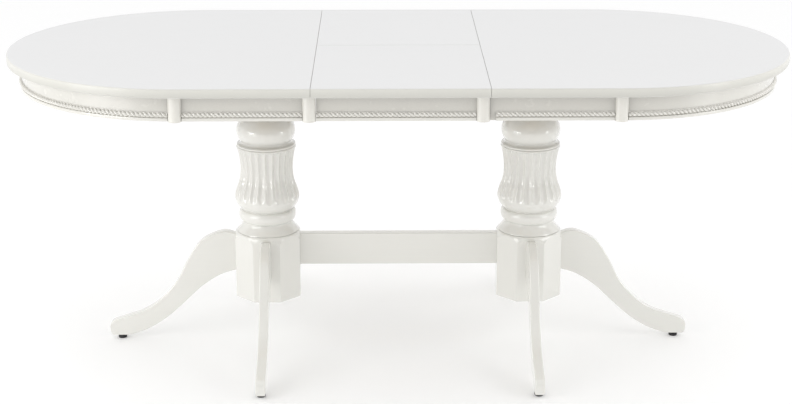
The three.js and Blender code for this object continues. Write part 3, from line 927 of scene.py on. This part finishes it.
# ---------------------------------------------------------------- slides and fittings under the top
STEEL_ROUND_STEPS = 16
GROOVE_DEPTH = 0.008
GROOVE_HEIGHT = 0.009
GROOVE_ABOVE_RAIL_FOOT = 0.0215
TONGUE_SLACK = 0.0006
MORTISE_DEPTH = 0.014
MORTISE_HALF = 0.025
ARM_HEIGHT = 0.010
ARM_WIDTH = 0.018
MORTISE_OVER = 0.0015
MORTISE_UNDER = 0.003
BEARER_RADIUS = 0.003
BOSS_RADIUS = 0.008
BOSS_SUNK = 0.002
SCREW_HEAD_RADIUS = 0.0052
SCREW_HEAD_PROUD = 0.0026
HINGE_PROUD = 0.00008


def lengthwise(section, stations):
    """A solid along X from a closed section of (y, z) points, with rings at the given X values."""
    bm = bmesh.new()
    rings = [[bm.verts.new((x, y, z)) for y, z in section] for x in stations]
    sides = {}
    for place, (here, there) in enumerate(zip(rings, rings[1:])):
        for i in range(len(section)):
            j = (i + 1) % len(section)
            sides[place, i] = bm.faces.new((here[i], there[i], there[j], here[j]))
    bm.faces.new(rings[0])
    bm.faces.new(rings[-1][::-1])
    return bm, sides


def sink(bm, face, move):
    """Turns one face into a pocket, its floor moved by a vector."""
    pocket = bmesh.ops.extrude_discrete_faces(bm, faces=[face])
    for vert in pocket["faces"][0].verts:
        vert.co += Vector(move)


def disc(radius, low, high, ease, place):
    """A turned boss or screw head with eased rims."""
    profile = [(0, low), (radius - ease, low)]
    rim = (radius, low + ease)
    profile += bezier(profile[-1], (radius - ease / 2, low), (radius, low + ease / 2), rim, 4)
    profile += [(radius, high - ease / 2), (radius - ease / 2, high), (0, high)]
    bm = turned(profile, 0, even_steps(36))
    bm.transform(Matrix.Translation(place))
    return bm


def join_meshes(name, parts):
    """One mesh from several closed ones."""
    whole = bmesh.new()
    for part in parts:
        bmesh.ops.recalc_face_normals(part, faces=part.faces)
        mesh = bpy.data.meshes.new(name)
        part.to_mesh(mesh)
        part.free()
        whole.from_mesh(mesh)
        bpy.data.meshes.remove(mesh)
    mesh = bpy.data.meshes.new(name)
    whole.to_mesh(mesh)
    whole.free()
    return mesh


def make_bearer(word):
    """A beech board across the top of a column."""
    name = word + "_bearer"
    low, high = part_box(name)
    finish_piece(name, to_mesh(name, board(low, high, BEARER_RADIUS, 3)), beech_along["Y"], "base", [name],
                 30, True)


def make_rail(word):
    """A fixed rail, grooved along both sides."""
    name = "fixed_rail_" + word
    low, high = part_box(name)
    foot = low.z + GROOVE_ABOVE_RAIL_FOOT
    head = foot + GROOVE_HEIGHT
    near, far = low.y + GROOVE_DEPTH, high.y - GROOVE_DEPTH
    section = [(low.y, low.z), (high.y, low.z), (high.y, foot), (far, foot), (far, head), (high.y, head),
               (high.y, high.z), (low.y, high.z), (low.y, head), (near, head), (near, foot), (low.y, foot)]
    bm, _sides = lengthwise(section, [low.x, high.x])
    round_edges(bm, 0.0009, 2)
    finish_piece(name, to_mesh(name, bm), beech_along["X"], "base", [name], 30, True)


def make_runner(group, word):
    """A runner with its tongue in the rail, and a mortise for the turn button in its free side."""
    name = f"{group}_runner_{word}"
    low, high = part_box(name)
    rail_low, rail_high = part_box("fixed_rail_" + word)
    outer = abs(low.y + high.y) > abs(rail_low.y + rail_high.y)
    free = 1 if outer == (word == "rear") else -1
    back = high.y if free > 0 else low.y
    tip = low.y if free > 0 else high.y
    face = (rail_high.y if free > 0 else rail_low.y) + free * TONGUE_SLACK
    tongue_low = rail_low.z + GROOVE_ABOVE_RAIL_FOOT + TONGUE_SLACK
    tongue_high = rail_low.z + GROOVE_ABOVE_RAIL_FOOT + GROOVE_HEIGHT - TONGUE_SLACK
    button_low, button_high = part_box("turn_button_" + group)
    middle = (button_low.x + button_high.x) / 2
    sill = button_low.z - MORTISE_UNDER
    lintel = button_low.z + ARM_HEIGHT + MORTISE_OVER
    section = [(face, low.z), (back, low.z), (back, sill), (back, lintel), (back, high.z), (face, high.z),
               (face, tongue_high), (tip, tongue_high), (tip, tongue_low), (face, tongue_low)]
    stations = [low.x, middle - MORTISE_HALF, middle + MORTISE_HALF, high.x]
    bm, sides = lengthwise(section, stations)
    sink(bm, sides[1, 2], (0, -free * MORTISE_DEPTH, 0))
    round_edges(bm, 0.0008, 2)
    body = group + "_half"
    finish_piece(name, to_mesh(name, bm), beech_along["X"], body, [name], 30, True)


def make_slides():
    """The bearers, runners and fixed rails."""
    for group in ("left", "right"):
        make_bearer(group)
        for word in ("front", "rear"):
            make_runner(group, word)
    for word in ("front", "rear"):
        make_rail(word)


def stadium(x, y, half, radius):
    """Outline of a bar with round ends about a middle point."""
    outline = arc((x + half, y), radius, -math.pi / 2, math.pi / 2, STEEL_ROUND_STEPS)
    outline += arc((x - half, y), radius, math.pi / 2, 3 * math.pi / 2, STEEL_ROUND_STEPS)
    return outline


def make_turn_button(word):
    """A steel arm with round ends on a boss, held up by a pan-head screw."""
    name = "turn_button_" + word
    low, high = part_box(name)
    x, y = (low.x + high.x) / 2, (low.y + high.y) / 2
    half = (high.x - low.x) / 2 - ARM_WIDTH / 2
    arm = round_edges(prism(stadium(x, y, half, ARM_WIDTH / 2), low.z, low.z + ARM_HEIGHT), 0.0012, 3)
    boss = disc(BOSS_RADIUS, low.z + ARM_HEIGHT - BOSS_SUNK, high.z, 0.0008, (x, y, 0))
    head = disc(SCREW_HEAD_RADIUS, low.z - SCREW_HEAD_PROUD, low.z + BOSS_SUNK, 0.0018, (x, y, 0))
    mesh = join_meshes(name, [arm, boss, head])
    finish_piece(name, mesh, steel, "button_" + word, [name], 40, True)


def make_hinge(word, end):
    """A concealed hinge let into the leaf's edge: a steel block with round ends."""
    name = f"leaf_hinge_{word}_{end}"
    low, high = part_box(name)
    side = -1 if end == "front" else 1
    face = (high.y if side < 0 else low.y) - side * HINGE_PROUD
    back = low.y if side < 0 else high.y
    radius = (high.z - low.z) / 2
    x, z = (low.x + high.x) / 2, (low.z + high.z) / 2
    half = (high.x - low.x) / 2 - radius
    upright = Matrix(((1, 0, 0, 0), (0, 0, -side, 0), (0, 1, 0, 0), (0, 0, 0, 1)))
    depth = abs(face - back)
    block = round_edges(prism(stadium(x, z, half, radius), 0, depth), 0.0004, 2)
    block.transform(Matrix.Translation((0, back, 0)) @ upright)
    finish_piece(name, to_mesh(name, block), steel, "leaf_" + end, [name], 30, True)


def make_fittings():
    """The turn buttons and the leaf's hinges."""
    for word in ("left", "right"):
        make_turn_button(word)
        for end in ("front", "rear"):
            make_hinge(word, end)


make_camera()
make_lights()
make_floor()
bpy.context.scene.view_settings.view_transform = "Standard"
make_top()
make_aprons()
make_posts()
make_pedestals()
make_slides()
make_fittings()
